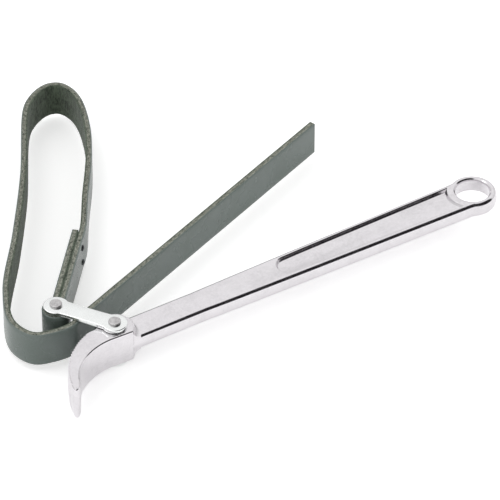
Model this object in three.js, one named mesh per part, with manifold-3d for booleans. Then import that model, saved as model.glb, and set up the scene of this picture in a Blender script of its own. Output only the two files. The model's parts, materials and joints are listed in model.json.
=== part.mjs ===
// Strap wrench for oil filters: a forged handle with a toothed claw, two link plates on peened rivets,
// and a laminated strap whose one end is an eye on the outer rivet and whose other end runs free
// between the plates.
//
// Millimetres. +X runs along the handle from the pivot rivet to the hanging ring, +Y points to the side
// of the strap loop and +Z is up along the rivets. The origin is on the pivot rivet's axis, in the plane
// of the lower rivet heads' flat faces.

import * as THREE from "three";
import { mergeGeometries, mergeVertices } from "three/addons/utils/BufferGeometryUtils.js";
import Module from "manifold-3d";

const wasm = await Module();
wasm.setup();

// ---------------------------------------------------------------- driving dimensions

// Stack along the rivets.
const RIVET_HEAD_HEIGHT = 1.2;
const PLATE_THICKNESS = 2;
const PLATE_GAP = 18.1; // between the two plates; the claw and the strap fit it
const CLAW_CLEARANCE = 0.3; // on each side of the claw
const STRAP_CLEARANCE = 0.3; // on each side of the strap

// Handle.
const RING_X = 196.8; // pivot to the centre of the hanging ring
const RING_RADIUS = 11.7;
const HANGING_HOLE_RADIUS = 8.2;
const SHANK_THICKNESS = 8;
const SHANK_HALF_WIDTH_AT_CLAW = 7.7;
const SHANK_HALF_WIDTH_AT_RING = 10.4;
const SHANK_STRAIGHT_TO = 45; // the shank starts to widen here
const SHANK_START = 5; // the shank starts here, inside the boss
const SHANK_EDGE = 2; // radius of the shank's long edges
const SHANK_DRAFT = 0.35; // how far the forged sides lean in from the parting line
const BOSS_RADIUS = 9.4; // round end of the thick claw about the pivot
const BOSS_FILLET = 2.5; // radius where the boss stands on the shank
const CLAW_EDGE = 0.6;
const CLAW_DRAFT = 0.3;
const PANEL_START = 88; // near end of the recessed panel
const PANEL_RIM = 2.9; // wall left along each side of the panel
const PANEL_DEPTH = 1.9;
const PANEL_DRAFT = 0.9;
const PANEL_RING_WALL = 4.2; // wall left between the panel and the hanging hole
const EDGE_STEPS = 3; // facets of each rounded edge
const TOOTH_PITCH = 1.6;
const TOOTH_DEPTH = 0.55;

// Link: the strap rivet's place, as distance and angle from the pivot.
const LINK_LENGTH = 29.8;
const LINK_ANGLE = THREE.MathUtils.degToRad(123.8);
const LINK_END_RADIUS = 5.9;
const LINK_WAIST_HALF_WIDTH = 4.4;
const RIVET_HEAD_RADIUS = 2.9;
const RIVET_SHANK_RADIUS = 2.2;
const RIVET_HEAD_EDGE = 0.25;
const RIVET_CLEARANCE = 0.3; // round what turns on a rivet, or gives way to one
const RIVET_SEAT_GAP = 0.1; // round a rivet in its own plates or spacer
const PLATE_EDGE = 0.3; // broken edge of a link plate
const SPACER_WALL = 1;
const SPACER_CLEARANCE = 0.3; // between the spacer and the strap's eye

// Strap laminate, from the face that lies against the filter to the outside.
const GRIP_FACE_THICKNESS = 0.7;
const CORE_THICKNESS = 1.7;
const COVER_THICKNESS = 0.6;
const LAYER_GAP = 0.3; // between the two runs where the strap is doubled
const DOUBLED_LENGTH = 57; // eye rivet to the end of the doubled run
const DOUBLED_ANGLE = THREE.MathUtils.degToRad(49.3);
const EYE_BEND_RADIUS = 5; // how the two runs bend together beyond the spacer
const STRAP_RIVET_FROM_EYE = 49.5;
const STRAP_RIVET_SPACING = 8.6;
const STRAP_RIVET_RADIUS = 0.9;
const STRAP_RIVET_BORE = 0.4;
const STRAP_RIVET_HEAD_RADIUS = 1.6;
const STRAP_RIVET_HEAD_HEIGHT = 0.8;
const STRAP_RIVET_SEAT_GAP = 0.1; // under each head
const TAIL_ANGLE = THREE.MathUtils.degToRad(21);
const TAIL_LENGTH = 178; // link to the cut end
const TAIL_CROSSING = 17.2; // pivot to the place where the tail crosses the link
const TAIL_SEAM_GAP = 0.3;

// ---------------------------------------------------------------- sizes that follow

const STRAP_THICKNESS = GRIP_FACE_THICKNESS + CORE_THICKNESS + COVER_THICKNESS;
const CLAW_THICKNESS = PLATE_GAP - 2 * CLAW_CLEARANCE;
const STRAP_WIDTH = PLATE_GAP - 2 * STRAP_CLEARANCE;
const LOWER_PLATE_Z = RIVET_HEAD_HEIGHT;
const GAP_Z = LOWER_PLATE_Z + PLATE_THICKNESS;
const UPPER_PLATE_Z = GAP_Z + PLATE_GAP;
const TOP_Z = UPPER_PLATE_Z + PLATE_THICKNESS + RIVET_HEAD_HEIGHT;
const MIDDLE_Z = TOP_Z / 2;
const SPACER_INNER_RADIUS = RIVET_SHANK_RADIUS + RIVET_SEAT_GAP;
const SPACER_RADIUS = SPACER_INNER_RADIUS + SPACER_WALL;
const EYE_RADIUS = SPACER_RADIUS + SPACER_CLEARANCE + STRAP_THICKNESS / 2; // to the strap's middle
const LINK_DIRECTION = new THREE.Vector2(Math.cos(LINK_ANGLE), Math.sin(LINK_ANGLE));
const EYE = LINK_DIRECTION.clone().multiplyScalar(LINK_LENGTH);

// ---------------------------------------------------------------- helpers

/** A geometry with position only and its shared vertices merged. */
function welded(geometry) {
  const plain = geometry.index ? geometry.toNonIndexed() : geometry.clone();
  plain.deleteAttribute("normal");
  plain.deleteAttribute("uv");
  return mergeVertices(plain, 1e-4);
}

/** A closed geometry as a manifold-3d solid. */
function solidOf(geometry) {
  const closed = welded(geometry);
  return new wasm.Manifold(
    new wasm.Mesh({
      numProp: 3,
      vertProperties: closed.attributes.position.array,
      triVerts: new Uint32Array(closed.index.array),
    }),
  );
}

/** A manifold-3d solid as a geometry with flat normals. */
function geometryOf(solid) {
  const mesh = solid.getMesh();
  const geometry = new THREE.BufferGeometry();
  geometry.setAttribute("position", new THREE.BufferAttribute(mesh.vertProperties, 3));
  geometry.setIndex(new THREE.BufferAttribute(mesh.triVerts, 1));
  const flat = geometry.toNonIndexed();
  flat.computeVertexNormals();
  return flat;
}

/** A closed solid through the same outline at several heights, each with its own inset. */
function stackedSolid(outlineAt, levels) {
  const rings = levels.map(({ z, inset }) => outlineAt(inset).map((p) => new THREE.Vector3(p.x, p.y, z)));
  const count = rings[0].length;
  const triangles = [];
  rings.slice(1).forEach((upper, level) => {
    const lower = rings[level];
    for (let i = 0; i < count; i += 1) {
      const j = (i + 1) % count;
      triangles.push(lower[i], lower[j], upper[j], lower[i], upper[j], upper[i]);
    }
  });
  const flatRing = (ring) => ring.map((p) => new THREE.Vector2(p.x, p.y));
  const bottom = rings[0];
  for (const [a, b, c] of THREE.ShapeUtils.triangulateShape(flatRing(bottom), [])) {
    triangles.push(bottom[a], bottom[c], bottom[b]);
  }
  const top = rings[rings.length - 1];
  for (const [a, b, c] of THREE.ShapeUtils.triangulateShape(flatRing(top), [])) {
    triangles.push(top[a], top[b], top[c]);
  }
  return new THREE.BufferGeometry().setFromPoints(triangles);
}

/** The outward normals of a closed outline that runs counterclockwise. */
function outwardNormals(outline) {
  return outline.map((_, i) => {
    const before = outline[(i + outline.length - 1) % outline.length];
    const after = outline[(i + 1) % outline.length];
    const along = after.clone().sub(before).normalize();
    return new THREE.Vector2(along.y, -along.x);
  });
}

/** An outline moved inwards by an inset, point by point. */
function insetOutline(outline, inset) {
  const normals = outwardNormals(outline);
  return outline.map((p, i) => p.clone().addScaledVector(normals[i], -inset));
}

/** The height levels of a forged body: rounded edges and sides that lean in from the parting line. */
function forgedLevels(thickness, edge, draft) {
  const low = MIDDLE_Z - thickness / 2;
  const high = MIDDLE_Z + thickness / 2;
  const rounding = [];
  for (let i = 0; i <= EDGE_STEPS; i += 1) {
    const angle = (Math.PI / 2) * (i / EDGE_STEPS);
    rounding.push({ rise: edge * (1 - Math.cos(angle)), inset: draft + edge * (1 - Math.sin(angle)) });
  }
  const bottom = rounding.map(({ rise, inset }) => ({ z: low + rise, inset }));
  const top = rounding.map(({ rise, inset }) => ({ z: high - rise, inset })).reverse();
  return [...bottom, { z: MIDDLE_Z, inset: 0 }, ...top];
}

/** An upright cylinder between two heights. */
function uprightCylinder(x, y, radius, low, high, segments = 32) {
  const geometry = new THREE.CylinderGeometry(radius, radius, high - low, segments);
  geometry.rotateX(Math.PI / 2);
  geometry.translate(x, y, (low + high) / 2);
  return geometry;
}

// ---------------------------------------------------------------- handle

/** Half the shank's width at a distance from the pivot. */
function shankHalfWidth(x) {
  const share = THREE.MathUtils.clamp((x - SHANK_STRAIGHT_TO) / (RING_X - SHANK_STRAIGHT_TO), 0, 1);
  return SHANK_HALF_WIDTH_AT_CLAW + (SHANK_HALF_WIDTH_AT_RING - SHANK_HALF_WIDTH_AT_CLAW) * share ** 0.8;
}

/** The shank and ring as an outline, counterclockwise from the claw end. */
function shankOutline() {
  const meetAngle = Math.PI - Math.asin(SHANK_HALF_WIDTH_AT_RING / RING_RADIUS);
  const lowerSide = [new THREE.Vector2(SHANK_START, -SHANK_HALF_WIDTH_AT_CLAW)];
  const steps = 8;
  const meetX = RING_X + RING_RADIUS * Math.cos(meetAngle) - 2;
  for (let i = 0; i <= steps; i += 1) {
    const x = THREE.MathUtils.lerp(SHANK_STRAIGHT_TO, meetX, i / steps);
    lowerSide.push(new THREE.Vector2(x, -shankHalfWidth(x)));
  }
  const ring = [];
  const ringSteps = 40;
  for (let i = 0; i <= ringSteps; i += 1) {
    const angle = -meetAngle + (2 * meetAngle * i) / ringSteps;
    ring.push(new THREE.Vector2(RING_X + RING_RADIUS * Math.cos(angle), RING_RADIUS * Math.sin(angle)));
  }
  const upperSide = lowerSide.map((p) => new THREE.Vector2(p.x, -p.y)).reverse();
  return [...lowerSide, ...ring, ...upperSide];
}

/** The recessed panel's outline at an inset: round near end, and a far end that follows the ring. */
function panelOutlineAt(inset) {
  const rim = PANEL_RIM + inset;
  const endRadius = HANGING_HOLE_RADIUS + PANEL_RING_WALL + inset;
  const farHalf = shankHalfWidth(RING_X - endRadius) - rim;
  const farAngle = Math.asin(farHalf / endRadius);
  const farX = RING_X - endRadius * Math.cos(farAngle);
  const nearHalf = shankHalfWidth(PANEL_START) - rim;
  const nearX = PANEL_START + inset + nearHalf;
  const endSteps = 12;
  const sideSteps = 6;
  const points = [];
  for (let i = 0; i <= endSteps; i += 1) {
    const angle = Math.PI / 2 + (Math.PI * i) / endSteps;
    points.push(new THREE.Vector2(nearX + nearHalf * Math.cos(angle), nearHalf * Math.sin(angle)));
  }
  for (let i = 1; i < sideSteps; i += 1) {
    const x = THREE.MathUtils.lerp(nearX, farX, i / sideSteps);
    points.push(new THREE.Vector2(x, rim - shankHalfWidth(x)));
  }
  for (let i = 0; i <= endSteps; i += 1) {
    const angle = Math.PI + farAngle - (2 * farAngle * i) / endSteps;
    points.push(new THREE.Vector2(RING_X + endRadius * Math.cos(angle), endRadius * Math.sin(angle)));
  }
  for (let i = sideSteps - 1; i > 0; i -= 1) {
    const x = THREE.MathUtils.lerp(nearX, farX, i / sideSteps);
    points.push(new THREE.Vector2(x, shankHalfWidth(x) - rim));
  }
  return points;
}

/** The claw's edges: boss round the pivot, toothed back, blunt nose and hollow inner side. */
function clawCurves() {
  const start = THREE.MathUtils.degToRad(-56);
  const end = THREE.MathUtils.degToRad(158);
  const bossStart = new THREE.Vector2(Math.cos(start), Math.sin(start)).multiplyScalar(BOSS_RADIUS);
  const bossEnd = new THREE.Vector2(Math.cos(end), Math.sin(end)).multiplyScalar(BOSS_RADIUS);
  const point = (x, y) => new THREE.Vector2(x, y);
  const noseBack = point(-37.2, -24.6);
  const noseTip = point(-35.9, -28.7);
  const noseFront = point(-31.2, -22.4);
  const throat = point(-5.8, -7.3);
  return {
    boss: new THREE.EllipseCurve(0, 0, BOSS_RADIUS, BOSS_RADIUS, start, end, false),
    back: new THREE.CubicBezierCurve(bossEnd, point(-19.8, 4.6), point(-34.6, -10.6), noseBack),
    nose: new THREE.CubicBezierCurve(noseBack, point(-38.1, -27.9), point(-37.4, -29.1), noseTip),
    front: new THREE.CubicBezierCurve(noseTip, point(-33.8, -28), point(-32.6, -25.2), noseFront),
    hollow: new THREE.CubicBezierCurve(noseFront, point(-27.6, -13.6), point(-16.5, -7.3), throat),
    throat: new THREE.LineCurve(throat, bossStart),
  };
}

/** The claw's outline at an inset, with V teeth along its back. */
function clawOutlineAt(inset) {
  const curves = clawCurves();
  const smooth = [];
  const depths = [];
  const add = (curve, steps) => {
    curve.getSpacedPoints(steps).slice(0, -1).forEach((p) => {
      smooth.push(new THREE.Vector2(p.x, p.y));
      depths.push(0);
    });
  };
  add(curves.boss, 26);
  const teeth = Math.round(curves.back.getLength() / TOOTH_PITCH);
  const firstTooth = 3;
  curves.back.getSpacedPoints(2 * teeth).slice(0, -1).forEach((p, i) => {
    smooth.push(new THREE.Vector2(p.x, p.y));
    depths.push(i % 2 === 1 && i > 2 * firstTooth ? TOOTH_DEPTH : 0);
  });
  add(curves.nose, 5);
  add(curves.front, 5);
  add(curves.hollow, 16);
  add(curves.throat, 1);
  const normals = outwardNormals(smooth);
  return smooth.map((p, i) => p.clone().addScaledVector(normals[i], -inset - depths[i]));
}

/** The fillet where the boss stands on one face of the shank, kept within the shank's width. */
function bossFilletSolid(side) {
  const reach = BOSS_RADIUS + BOSS_FILLET;
  const steps = 6;
  const profile = [new THREE.Vector2(0, -SHANK_EDGE), new THREE.Vector2(reach, -SHANK_EDGE)];
  for (let i = 0; i <= steps; i += 1) {
    const angle = (Math.PI / 2) * (i / steps);
    profile.push(
      new THREE.Vector2(reach - BOSS_FILLET * Math.sin(angle), BOSS_FILLET * (1 - Math.cos(angle))),
    );
  }
  profile.push(new THREE.Vector2(0, BOSS_FILLET));
  const ring = new THREE.LatheGeometry(profile, 48);
  ring.rotateX((side * Math.PI) / 2);
  ring.translate(0, 0, MIDDLE_Z + (side * SHANK_THICKNESS) / 2);
  const width = 2 * (SHANK_HALF_WIDTH_AT_CLAW - SHANK_DRAFT - 0.1);
  const shankBand = new THREE.BoxGeometry(reach + 1, width, 3 * SHANK_THICKNESS);
  shankBand.translate((reach + 1) / 2, 0, MIDDLE_Z);
  return solidOf(ring).intersect(solidOf(shankBand));
}

/** The one-piece forged handle. */
function handleSolid() {
  const claw = solidOf(stackedSolid(clawOutlineAt, forgedLevels(CLAW_THICKNESS, CLAW_EDGE, CLAW_DRAFT)));
  const shankOutlineAt = (inset) => insetOutline(shankOutline(), inset);
  const shank = solidOf(
    stackedSolid(shankOutlineAt, forgedLevels(SHANK_THICKNESS, SHANK_EDGE, SHANK_DRAFT)),
  );
  const top = MIDDLE_Z + SHANK_THICKNESS / 2;
  const bottom = MIDDLE_Z - SHANK_THICKNESS / 2;
  const beyond = 1;
  const beyondInset = -(PANEL_DRAFT * beyond) / PANEL_DEPTH;
  const upperPanel = stackedSolid(panelOutlineAt, [
    { z: top - PANEL_DEPTH, inset: PANEL_DRAFT },
    { z: top + beyond, inset: beyondInset },
  ]);
  const lowerPanel = stackedSolid(panelOutlineAt, [
    { z: bottom - beyond, inset: beyondInset },
    { z: bottom + PANEL_DEPTH, inset: PANEL_DRAFT },
  ]);
  const hangingHole = uprightCylinder(RING_X, 0, HANGING_HOLE_RADIUS, bottom - beyond, top + beyond, 48);
  const pivotHole = uprightCylinder(0, 0, RIVET_SHANK_RADIUS + RIVET_CLEARANCE, 0, TOP_Z);
  return claw
    .add(shank)
    .add(bossFilletSolid(1))
    .add(bossFilletSolid(-1))
    .subtract(solidOf(upperPanel))
    .subtract(solidOf(lowerPanel))
    .subtract(solidOf(hangingHole))
    .subtract(solidOf(pivotHole));
}

// ---------------------------------------------------------------- link

/** One dog-bone plate, with its lower face at a height. */
function linkPlateSolid(z) {
  const shape = new THREE.Shape();
  const sweep = THREE.MathUtils.degToRad(128);
  const corner = (x, angle) =>
    new THREE.Vector2(x + LINK_END_RADIUS * Math.cos(angle), LINK_END_RADIUS * Math.sin(angle));
  const middle = LINK_LENGTH / 2;
  const waist = 2 * LINK_WAIST_HALF_WIDTH - corner(0, Math.PI - sweep).y;
  const eyeUpper = corner(LINK_LENGTH, sweep);
  const pivotLower = corner(0, Math.PI + sweep);
  const eyeLower = corner(LINK_LENGTH, -sweep);
  shape.absarc(0, 0, LINK_END_RADIUS, Math.PI - sweep, Math.PI + sweep, false);
  shape.moveTo(pivotLower.x, pivotLower.y);
  shape.quadraticCurveTo(middle, -waist, eyeLower.x, eyeLower.y);
  shape.absarc(LINK_LENGTH, 0, LINK_END_RADIUS, -sweep, sweep, false);
  shape.lineTo(eyeUpper.x, eyeUpper.y);
  shape.quadraticCurveTo(middle, waist, corner(0, Math.PI - sweep).x, corner(0, Math.PI - sweep).y);
  const plate = new THREE.ExtrudeGeometry(shape, {
    depth: PLATE_THICKNESS - 2 * PLATE_EDGE,
    bevelThickness: PLATE_EDGE,
    bevelSize: PLATE_EDGE,
    bevelOffset: -PLATE_EDGE,
    bevelSegments: 2,
    curveSegments: 20,
  });
  plate.translate(0, 0, z + PLATE_EDGE);
  plate.rotateZ(LINK_ANGLE);
  const holeRadius = RIVET_SHANK_RADIUS + RIVET_SEAT_GAP;
  return [new THREE.Vector2(), EYE].reduce(
    (body, at) =>
      body.subtract(solidOf(uprightCylinder(at.x, at.y, holeRadius, z - 1, z + PLATE_THICKNESS + 1))),
    solidOf(plate),
  );
}

/** A peened rivet through both plates, as a turned profile. */
function linkRivetGeometry(at) {
  const lowHead = RIVET_HEAD_HEIGHT;
  const highHead = TOP_Z - RIVET_HEAD_HEIGHT;
  const profile = [
    [0, 0],
    [RIVET_HEAD_RADIUS - RIVET_HEAD_EDGE, 0],
    [RIVET_HEAD_RADIUS, RIVET_HEAD_EDGE],
    [RIVET_HEAD_RADIUS, lowHead],
    [RIVET_SHANK_RADIUS, lowHead],
    [RIVET_SHANK_RADIUS, highHead],
    [RIVET_HEAD_RADIUS, highHead],
    [RIVET_HEAD_RADIUS, TOP_Z - RIVET_HEAD_EDGE],
    [RIVET_HEAD_RADIUS - RIVET_HEAD_EDGE, TOP_Z],
    [0, TOP_Z],
  ].map(([r, z]) => new THREE.Vector2(r, z));
  const geometry = new THREE.LatheGeometry(profile, 32);
  geometry.rotateX(Math.PI / 2);
  geometry.translate(at.x, at.y, 0);
  return welded(geometry);
}

/** The tube on the eye rivet that keeps the plates apart and carries the strap's eye. */
function spacerGeometry() {
  const profile = [
    [SPACER_INNER_RADIUS, GAP_Z],
    [SPACER_RADIUS, GAP_Z],
    [SPACER_RADIUS, UPPER_PLATE_Z],
    [SPACER_INNER_RADIUS, UPPER_PLATE_Z],
    [SPACER_INNER_RADIUS, GAP_Z],
  ].map(([r, z]) => new THREE.Vector2(r, z));
  const geometry = new THREE.LatheGeometry(profile, 32);
  geometry.rotateX(Math.PI / 2);
  geometry.translate(EYE.x, EYE.y, 0);
  return welded(geometry);
}

// ---------------------------------------------------------------- strap

/** A unit vector at an angle. */
function heading(angle) {
  return new THREE.Vector2(Math.cos(angle), Math.sin(angle));
}

const DOUBLED_DIRECTION = heading(DOUBLED_ANGLE);
const OUTER_SIDE = heading(DOUBLED_ANGLE - Math.PI / 2); // from the eye towards the outer run
const TAIL_DIRECTION = heading(TAIL_ANGLE);
const CROSSING = LINK_DIRECTION.clone().multiplyScalar(TAIL_CROSSING);
const RUN_SPACING = STRAP_THICKNESS + LAYER_GAP;

/** A point by its distance from the eye along the doubled run and its step towards the outer run. */
function fromEye(along, outwards) {
  return EYE.clone().addScaledVector(DOUBLED_DIRECTION, along).addScaledVector(OUTER_SIDE, outwards);
}

const onOuterRun = (distance) => fromEye(distance, RUN_SPACING / 2);
const onInnerRun = (distance) => fromEye(distance, -RUN_SPACING / 2);

/** The middle line of the loop, from the link round to the doubled stretch. */
function loopPath() {
  const fromLink = (distance) => CROSSING.clone().addScaledVector(TAIL_DIRECTION, -distance);
  const free = [
    [-34.3, 15.3],
    [-38, 27.3],
    [-29.4, 48.8],
    [-6, 81],
    [19.3, 117.9],
    [44.9, 160.3],
    [51.2, 166.4],
    [58.5, 170.3],
    [64.2, 171],
    [68.6, 168.6],
    [70.9, 162],
    [70.2, 152.2],
    [63, 132.3],
    [51.8, 112],
    [36, 88.3],
  ].map(([x, y]) => new THREE.Vector2(x, y));
  const points = [fromLink(0), fromLink(8), new THREE.Vector2(-27, 12.2), ...free];
  points.push(onOuterRun(DOUBLED_LENGTH + 3), onOuterRun(DOUBLED_LENGTH - 8));
  const curve = new THREE.CatmullRomCurve3(
    points.map((p) => new THREE.Vector3(p.x, p.y, 0)),
    false,
    "centripetal",
  );
  return curve.getSpacedPoints(110).map((p) => new THREE.Vector2(p.x, p.y));
}

/** The middle line of the eye and the doubled run: down the outer run, round the spacer and back. */
function eyePath() {
  const bendOut = RUN_SPACING / 2 + EYE_BEND_RADIUS;
  const bendAlong = Math.sqrt((EYE_RADIUS + EYE_BEND_RADIUS) ** 2 - bendOut ** 2);
  const leave = Math.atan2(bendOut, bendAlong);
  const arc = (along, out, radius, from, to, steps) => {
    const points = [];
    for (let i = 0; i <= steps; i += 1) {
      const angle = THREE.MathUtils.lerp(from, to, i / steps);
      points.push(fromEye(along + radius * Math.cos(angle), out + radius * Math.sin(angle)));
    }
    return points;
  };
  return [
    onOuterRun(DOUBLED_LENGTH - 20),
    onOuterRun(DOUBLED_LENGTH - 32),
    ...arc(bendAlong, bendOut, EYE_BEND_RADIUS, 1.5 * Math.PI, Math.PI + leave, 5),
    ...arc(0, 0, EYE_RADIUS, leave, 2 * Math.PI - leave, 20).slice(1),
    ...arc(bendAlong, -bendOut, EYE_BEND_RADIUS, Math.PI - leave, Math.PI / 2, 5).slice(1),
    onInnerRun(STRAP_RIVET_FROM_EYE),
    onInnerRun(DOUBLED_LENGTH),
  ];
}

/** A strip of the strap between two offsets from its middle line; positive is the outer face. */
function stripGeometry(path, innerOffset, outerOffset) {
  const sideAt = path.map((p, i) => {
    const before = path[Math.max(i - 1, 0)];
    const after = path[Math.min(i + 1, path.length - 1)];
    const along = after.clone().sub(before).normalize();
    return new THREE.Vector2(-along.y, along.x);
  });
  const side = (offset) => path.map((p, i) => p.clone().addScaledVector(sideAt[i], offset));
  const inner = side(innerOffset);
  const outer = side(outerOffset);
  const low = new THREE.Vector3(0, 0, MIDDLE_Z - STRAP_WIDTH / 2);
  const high = new THREE.Vector3(0, 0, MIDDLE_Z + STRAP_WIDTH / 2);
  const corner = (p, z) => new THREE.Vector3(p.x, p.y, z.z);
  const sections = path.map((_, i) => [
    corner(inner[i], low),
    corner(inner[i], high),
    corner(outer[i], high),
    corner(outer[i], low),
  ]);
  const triangles = [];
  const quad = (a, b, c, d) => triangles.push(a, b, c, a, c, d);
  sections.slice(1).forEach((next, i) => {
    const here = sections[i];
    for (let k = 0; k < 4; k += 1) {
      const l = (k + 1) % 4;
      quad(here[k], next[k], next[l], here[l]);
    }
  });
  const first = sections[0];
  const last = sections[sections.length - 1];
  quad(first[0], first[1], first[2], first[3]);
  quad(last[3], last[2], last[1], last[0]);
  return new THREE.BufferGeometry().setFromPoints(triangles);
}

const STRAP_LAYERS = [
  { name: "grip_face", from: 0, thickness: GRIP_FACE_THICKNESS, colour: 0x3c4a3e, roughness: 1 },
  { name: "core", from: GRIP_FACE_THICKNESS, thickness: CORE_THICKNESS, colour: 0x8f8f78, roughness: 0.9 },
  {
    name: "cover",
    from: GRIP_FACE_THICKNESS + CORE_THICKNESS,
    thickness: COVER_THICKNESS,
    colour: 0x5e6a63,
    roughness: 0.5,
  },
];

const LOOP_PATH = loopPath();
const EYE_PATH = eyePath();

/** The two places of the rivets that close the eye: one above the other across the strap's width. */
function strapRivetPlaces() {
  const middle = fromEye(STRAP_RIVET_FROM_EYE, 0);
  return ["lower", "upper"].map((name, i) => ({
    name,
    at: new THREE.Vector3(middle.x, middle.y, MIDDLE_Z + (i - 0.5) * STRAP_RIVET_SPACING),
  }));
}

/** Turns a geometry that stands along Y so that it lies through the doubled run at a place. */
function throughDoubledRun(geometry, at) {
  geometry.rotateZ(DOUBLED_ANGLE);
  geometry.translate(at.x, at.y, at.z);
  return geometry;
}

/** One layer of the loop and eye, with the holes for the strap rivets. */
function strapLayerSolid(layer) {
  const path = [...LOOP_PATH, ...EYE_PATH];
  const from = layer.from - STRAP_THICKNESS / 2;
  // The loop runs clockwise, so its outer face is on the left of the path.
  let solid = solidOf(stripGeometry(path, from, from + layer.thickness));
  for (const { at } of strapRivetPlaces()) {
    const radius = STRAP_RIVET_RADIUS + RIVET_CLEARANCE;
    const hole = new THREE.CylinderGeometry(radius, radius, 4 * RUN_SPACING, 24);
    solid = solid.subtract(solidOf(throughDoubledRun(hole, at)));
  }
  return solid;
}

/** One layer of the free end. */
function tailLayerGeometry(layer) {
  const from = layer.from - STRAP_THICKNESS / 2;
  const start = CROSSING.clone().addScaledVector(TAIL_DIRECTION, TAIL_SEAM_GAP);
  const end = CROSSING.clone().addScaledVector(TAIL_DIRECTION, TAIL_LENGTH);
  return stripGeometry([end, start], from, from + layer.thickness);
}

/** A tubular rivet with a rolled head on each face of the doubled run. */
function strapRivetGeometry() {
  const reach = (RUN_SPACING + STRAP_THICKNESS) / 2 + STRAP_RIVET_SEAT_GAP;
  const head = reach + STRAP_RIVET_HEAD_HEIGHT;
  const profile = [
    [STRAP_RIVET_BORE, -head],
    [STRAP_RIVET_HEAD_RADIUS - 0.4, -head],
    [STRAP_RIVET_HEAD_RADIUS, -reach],
    [STRAP_RIVET_RADIUS, -reach],
    [STRAP_RIVET_RADIUS, reach],
    [STRAP_RIVET_HEAD_RADIUS, reach],
    [STRAP_RIVET_HEAD_RADIUS - 0.4, head],
    [STRAP_RIVET_BORE, head],
    [STRAP_RIVET_BORE, -head],
  ].map(([r, y]) => new THREE.Vector2(r, y));
  return welded(new THREE.LatheGeometry(profile, 24));
}

// ---------------------------------------------------------------- assembly

const STEEL = { color: 0xd9d9dc, roughness: 0.3, metalness: 1 };
const SATIN_STEEL = { color: 0xc4c4c6, roughness: 0.45, metalness: 1 };

/** A named mesh with a material of its own. */
function part(name, geometry, finish) {
  const flat = geometry.index ? geometry.toNonIndexed() : geometry;
  flat.computeVertexNormals();
  const mesh = new THREE.Mesh(flat, new THREE.MeshStandardMaterial(finish));
  mesh.name = name;
  return mesh;
}

const wrench = new THREE.Group();
wrench.add(part("forged_handle", geometryOf(handleSolid()), STEEL));

const link = new THREE.Group();
link.add(part("link_plate_lower", geometryOf(linkPlateSolid(LOWER_PLATE_Z)), SATIN_STEEL));
link.add(part("link_plate_upper", geometryOf(linkPlateSolid(UPPER_PLATE_Z)), SATIN_STEEL));
link.add(part("pivot_rivet", linkRivetGeometry(new THREE.Vector2()), SATIN_STEEL));
link.add(part("eye_rivet", linkRivetGeometry(EYE), SATIN_STEEL));
link.add(part("eye_spacer", spacerGeometry(), SATIN_STEEL));
wrench.add(link);

const strap = new THREE.Group();
for (const layer of STRAP_LAYERS) {
  const finish = { color: layer.colour, roughness: layer.roughness, metalness: 0 };
  strap.add(part(`strap_${layer.name}`, geometryOf(strapLayerSolid(layer)), finish));
  strap.add(part(`strap_tail_${layer.name}`, tailLayerGeometry(layer), finish));
}
for (const { name, at } of strapRivetPlaces()) {
  const rivet = throughDoubledRun(strapRivetGeometry(), at);
  strap.add(part(`strap_rivet_${name}`, rivet, STEEL));
}
wrench.add(strap);

export default wrench;
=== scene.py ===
"""Looks of a strap wrench: chromed forging, punched link plates, rivets and a laminated strap.

Lengths are written in millimetres and turned to metres where a mesh is made. The place of every piece
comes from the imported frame: its boxes, joint points and joint axes.
"""

import json
import logging
import math
from dataclasses import dataclass, field
from enum import Enum
from typing import Callable, Sequence

import bmesh
import bpy
from mathutils import Matrix, Vector, noise


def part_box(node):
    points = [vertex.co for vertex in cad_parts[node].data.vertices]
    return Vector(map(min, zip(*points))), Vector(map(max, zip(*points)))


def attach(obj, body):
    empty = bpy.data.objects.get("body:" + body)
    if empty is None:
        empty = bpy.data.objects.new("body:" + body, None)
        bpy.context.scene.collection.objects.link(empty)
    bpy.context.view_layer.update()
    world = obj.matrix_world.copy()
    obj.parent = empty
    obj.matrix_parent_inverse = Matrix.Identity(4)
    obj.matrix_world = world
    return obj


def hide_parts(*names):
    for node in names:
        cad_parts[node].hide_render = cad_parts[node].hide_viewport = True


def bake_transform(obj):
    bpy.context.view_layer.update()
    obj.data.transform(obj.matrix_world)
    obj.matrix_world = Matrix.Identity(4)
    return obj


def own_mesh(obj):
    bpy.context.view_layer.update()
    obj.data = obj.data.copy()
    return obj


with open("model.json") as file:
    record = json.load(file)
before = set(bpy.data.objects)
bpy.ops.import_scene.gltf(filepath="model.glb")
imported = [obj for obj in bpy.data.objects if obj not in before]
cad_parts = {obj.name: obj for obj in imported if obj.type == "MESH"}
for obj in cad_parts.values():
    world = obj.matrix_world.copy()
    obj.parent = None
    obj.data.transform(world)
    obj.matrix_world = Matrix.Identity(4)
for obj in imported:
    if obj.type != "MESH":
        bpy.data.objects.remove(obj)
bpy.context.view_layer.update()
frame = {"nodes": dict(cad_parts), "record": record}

MM = 0.001

logging.basicConfig(level=logging.INFO, format="%(message)s")
log = logging.getLogger("strap_wrench")

JOINTS = {joint["name"]: joint for joint in frame["record"]["behaviour"]["joints"]}
Outline = list[Vector]
Pairs = list[tuple[float, float]]


class Corner(Enum):
    """How the edge of a pressed or forged body is rounded."""

    FORGED = 6
    PUNCHED = 3


# ---------------------------------------------------------------- meshes


def node_box(node: str) -> tuple[Vector, Vector]:
    """Find a CAD node's corners.

    Args:
        node: The node's name.

    Returns:
        Its lowest and highest corner, in millimetres.
    """
    low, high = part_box(node)
    return Vector(low) / MM, Vector(high) / MM


def flat(x: float, y: float) -> Vector:
    """Return a point of the plan, with no height."""
    return Vector((x, y))


def polar(angle: float, radius: float, centre: Vector | None = None) -> Vector:
    """Return the plan point at an angle and radius about a centre."""
    around = centre if centre is not None else flat(0, 0)
    return around + flat(math.cos(angle), math.sin(angle)) * radius


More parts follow.
